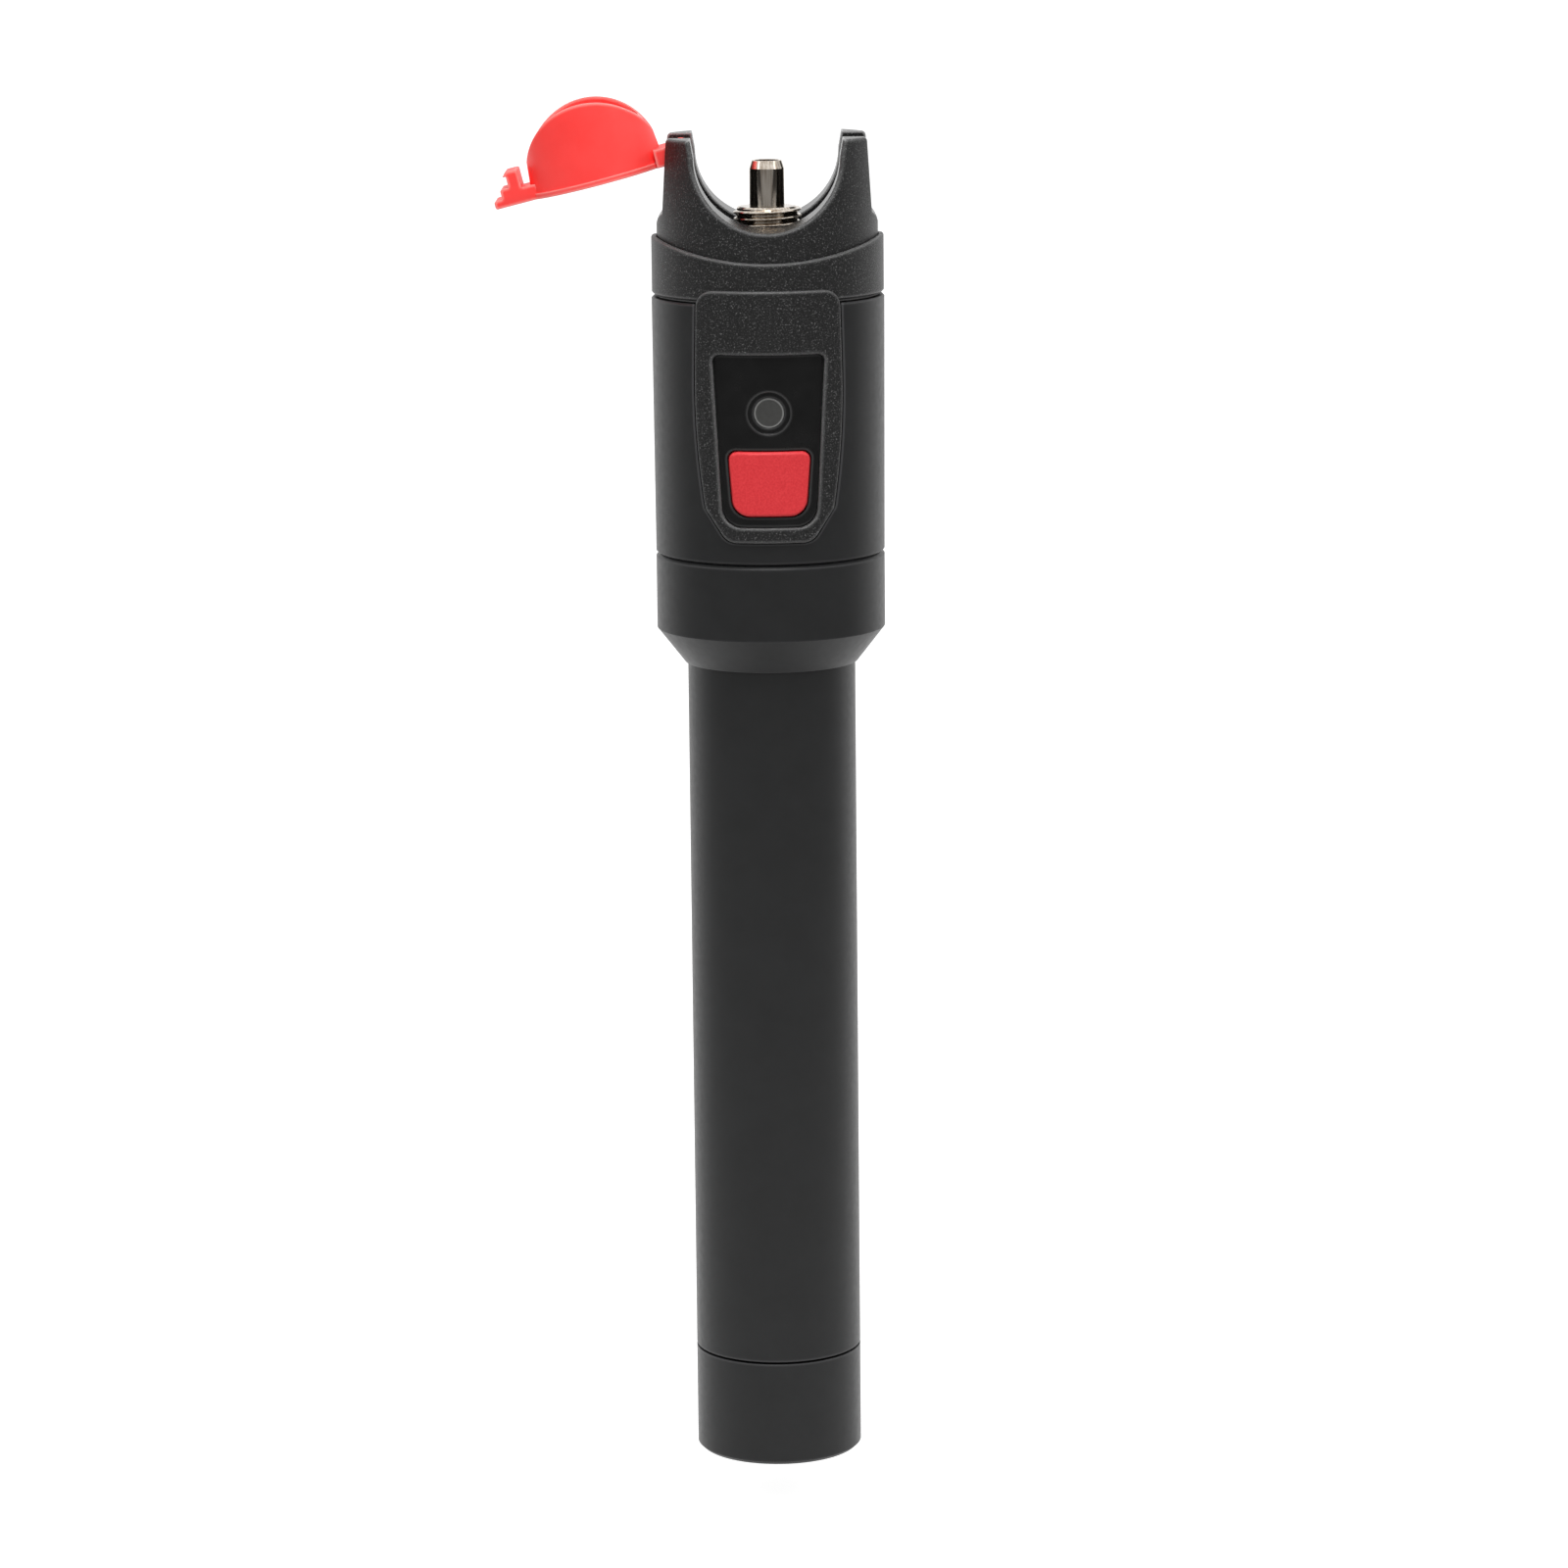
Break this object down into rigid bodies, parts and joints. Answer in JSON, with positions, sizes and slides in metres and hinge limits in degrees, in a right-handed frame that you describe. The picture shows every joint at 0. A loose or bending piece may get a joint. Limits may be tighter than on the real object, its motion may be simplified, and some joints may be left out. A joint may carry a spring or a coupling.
{
  "type": "visual fault locator",
  "caption": "Pen-shaped visual fault locator: slim battery tube, wider laser head with window and power button, forked top round a fibre connector port, and a hinged dust cap.",
  "frame": {"origin": "centre of the flat tail face, on the tube's axis", "axes": "+Z along the tube towards the connector port; the power button faces -Y; the dust cap hinges at -X"},
  "size_m": [0.0451, 0.0274, 0.1616],
  "materials": {
    "anodised_black": "fine bead-blasted black anodising",
    "moulded_black": "fine-textured moulded plastic",
    "window_black": "polished",
    "button_red": "satin",
    "cap_red": "smooth, slightly translucent soft plastic",
    "indicator_grey": "smoked, translucent",
    "port_nickel": "bright nickel plating",
    "ceramic_white": "polished zirconia",
    "housing_brass": "turned",
    "contact_nickel": "nickel plated",
    "steel": "plain",
    "cell_jacket": "plain jacket",
    "seal_rubber": "matte",
    "board_green": "solder mask",
    "component_black": "moulded",
    "led_white": "moulded",
    "lens_glass": "polished",
    "carrier_plastic": "moulded"
  },
  "bodies": {
    "root": {"battery_tube": "anodised_black", "reducer_ring": "anodised_black", "head_sleeve": "anodised_black", "lower_cell": "cell_jacket", "upper_cell": "cell_jacket", "bezel_collar": "moulded_black", "fork_head": "moulded_black", "window_panel": "window_black", "led_light_pipe": "indicator_grey", "circuit_board": "board_green", "board_screws": "steel", "positive_contact": "contact_nickel", "inner_chassis": "carrier_plastic", "laser_housing": "housing_brass", "focus_lens": "lens_glass", "laser_diode": "steel", "connector_port": "port_nickel", "ferrule_sleeve": "ceramic_white", "hinge_pin": "steel", "switch_body": "component_black", "status_led": "led_white", "driver_chip": "component_black"},
    "tail_contacts": {"tail_contact": "contact_nickel", "tail_spring": "contact_nickel"},
    "tail_cap": {"tail_cap": "anodised_black", "tail_o_ring": "seal_rubber"},
    "power_button": {"power_button": "button_red", "switch_plunger": "component_black"},
    "dust_cap": {"dust_cap": "cap_red"}
  },
  "joints": [
    {"name": "dust_cap_hinge", "type": "hinge", "parent": "root", "child": "dust_cap", "pos_m": [-0.01, 0, 0.1557], "axis": [0, 1, 0], "range_deg": [0, 194]},
    {"name": "power_button_press", "type": "slide", "parent": "root", "child": "power_button", "axis": [0, 1, 0], "range_m": [0, 0.00035], "stiffness_N_per_m": 1500},
    {"name": "tail_cap_travel", "type": "slide", "parent": "root", "child": "tail_contacts", "axis": [0, 0, -1], "range_m": [0, 0.0055]},
    {"name": "tail_cap_turn", "type": "hinge", "parent": "tail_contacts", "child": "tail_cap", "pos_m": [0, 0, 0.006], "axis": [0, 0, -1], "range_deg": [0, 1980]}
  ],
  "couplings": [
    {"joint": "tail_cap_travel", "follows": "tail_cap_turn", "m_per_rad": 0.00015915}
  ]
}
